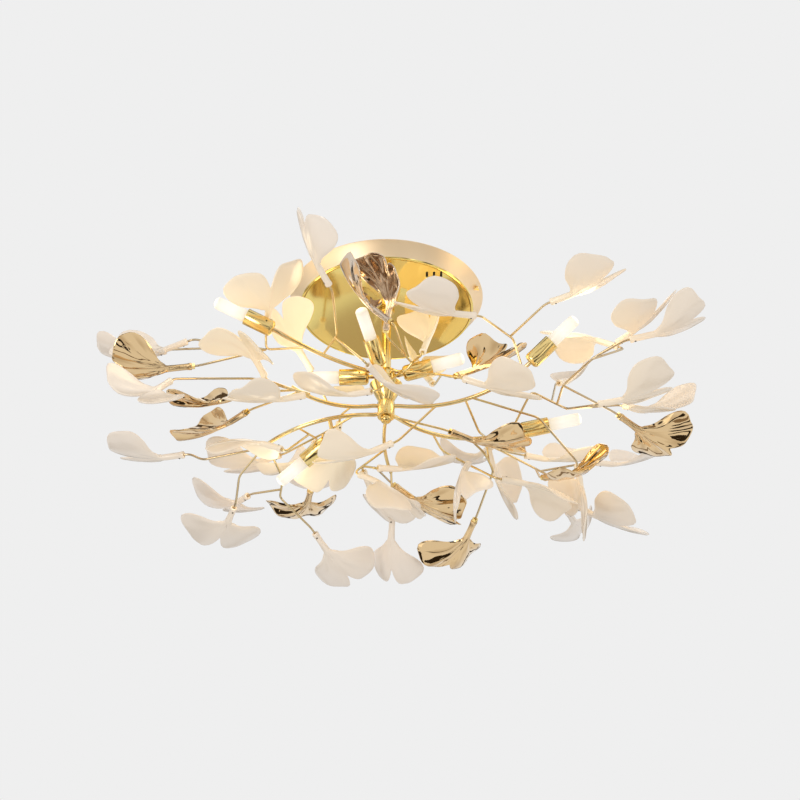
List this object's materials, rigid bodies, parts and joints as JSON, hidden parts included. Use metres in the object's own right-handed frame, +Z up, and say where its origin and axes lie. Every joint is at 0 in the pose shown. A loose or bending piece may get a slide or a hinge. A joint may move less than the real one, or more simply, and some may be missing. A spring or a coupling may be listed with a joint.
{
  "type": "ceiling light",
  "caption": "Semi-flush ceiling light: gilded branches with ginkgo-shaped leaves spread from a short stem, capsule lamps among them, under a round shallow canopy.",
  "frame": {"origin": "centre of the canopy's ceiling face, on the stem's axis", "axes": "+Z up into the ceiling, +X to the right and +Y away from the viewer in the picture"},
  "size_m": [0.7826, 0.6308, 0.3277],
  "materials": {
    "gilt_metal": "polished",
    "zinc_steel": "zinc plated",
    "white_leaf": "glossy, slightly translucent",
    "gold_leaf": "plated, mirror bright",
    "frosted_glass": "frosted",
    "ceramic_socket": "glazed ceramic",
    "terminal_plastic": "moulded"
  },
  "bodies": {
    "fixture": {"branch_east": "gilt_metal", "branch_north": "gilt_metal", "branch_south": "gilt_metal", "branch_south_east": "gilt_metal", "branch_south_west": "gilt_metal", "branch_west": "gilt_metal", "branch_west_upper": "gilt_metal", "canopy_pan": "gilt_metal", "canopy_screws": "gilt_metal", "gold_leaf_far_left": "gold_leaf", "gold_leaf_far_right_low": "gold_leaf", "gold_leaf_left": "gold_leaf", "gold_leaf_left_low": "gold_leaf", "gold_leaf_low_left": "gold_leaf", "gold_leaf_middle": "gold_leaf", "gold_leaf_middle_low": "gold_leaf", "gold_leaf_north": "gold_leaf", "gold_leaf_right": "gold_leaf", "gold_leaf_right_low": "gold_leaf", "gold_leaves_near": "gold_leaf", "hub_cone": "gilt_metal", "hub_core": "gilt_metal", "hub_finial": "gilt_metal", "hub_nipple": "gilt_metal", "lamp_cups": "gilt_metal", "lamp_nipples": "gilt_metal", "lamp_ring": "gilt_metal", "lamp_sockets": "ceramic_socket", "leaf_nuts": "gilt_metal", "mounting_bar": "zinc_steel", "stem_nuts": "gilt_metal", "stem_tube": "gilt_metal", "terminal_block": "terminal_plastic", "white_leaves_east": "white_leaf", "white_leaves_far_left": "white_leaf", "white_leaves_far_low": "white_leaf", "white_leaves_far_middle": "white_leaf", "white_leaves_hanging": "white_leaf", "white_leaves_left": "white_leaf", "white_leaves_left_tip": "white_leaf", "white_leaves_low_left": "white_leaf", "white_leaves_low_tip": "white_leaf", "white_leaves_middle_low": "white_leaf", "white_leaves_near_left": "white_leaf", "white_leaves_near_right": "white_leaf", "white_leaves_north": "white_leaf", "white_leaves_right": "white_leaf", "white_leaves_right_far": "white_leaf", "white_leaves_right_inner": "white_leaf", "white_leaves_right_low": "white_leaf", "white_leaves_right_upper": "white_leaf", "white_leaves_stem": "white_leaf"},
    "lamp_1": {"bulb_1": "frosted_glass"},
    "lamp_2": {"bulb_2": "frosted_glass"},
    "lamp_3": {"bulb_3": "frosted_glass"},
    "lamp_4": {"bulb_4": "frosted_glass"},
    "lamp_5": {"bulb_5": "frosted_glass"},
    "lamp_6": {"bulb_6": "frosted_glass"},
    "lamp_7": {"bulb_7": "frosted_glass"}
  },
  "joints": [
    {"name": "bulb_1_pull", "type": "slide", "parent": "fixture", "child": "lamp_1", "axis": [-0.9994, 0.0349, 0], "range_m": [0, 0.014]},
    {"name": "bulb_2_pull", "type": "slide", "parent": "fixture", "child": "lamp_2", "axis": [0.9661, -0.153, 0.2079], "range_m": [0, 0.014]},
    {"name": "bulb_3_pull", "type": "slide", "parent": "fixture", "child": "lamp_3", "axis": [-0.3069, -0.7595, 0.5736], "range_m": [0, 0.014]},
    {"name": "bulb_4_pull", "type": "slide", "parent": "fixture", "child": "lamp_4", "axis": [-0.9018, -0.2416, 0.3584], "range_m": [0, 0.014]},
    {"name": "bulb_5_pull", "type": "slide", "parent": "fixture", "child": "lamp_5", "axis": [0.7233, -0.3846, 0.5736], "range_m": [0, 0.014]},
    {"name": "bulb_6_pull", "type": "slide", "parent": "fixture", "child": "lamp_6", "axis": [0.9794, -0.1029, 0.1736], "range_m": [0, 0.014]},
    {"name": "bulb_7_pull", "type": "slide", "parent": "fixture", "child": "lamp_7", "axis": [-0.7686, 0.3584, -0.5299], "range_m": [0, 0.014]}
  ]
}
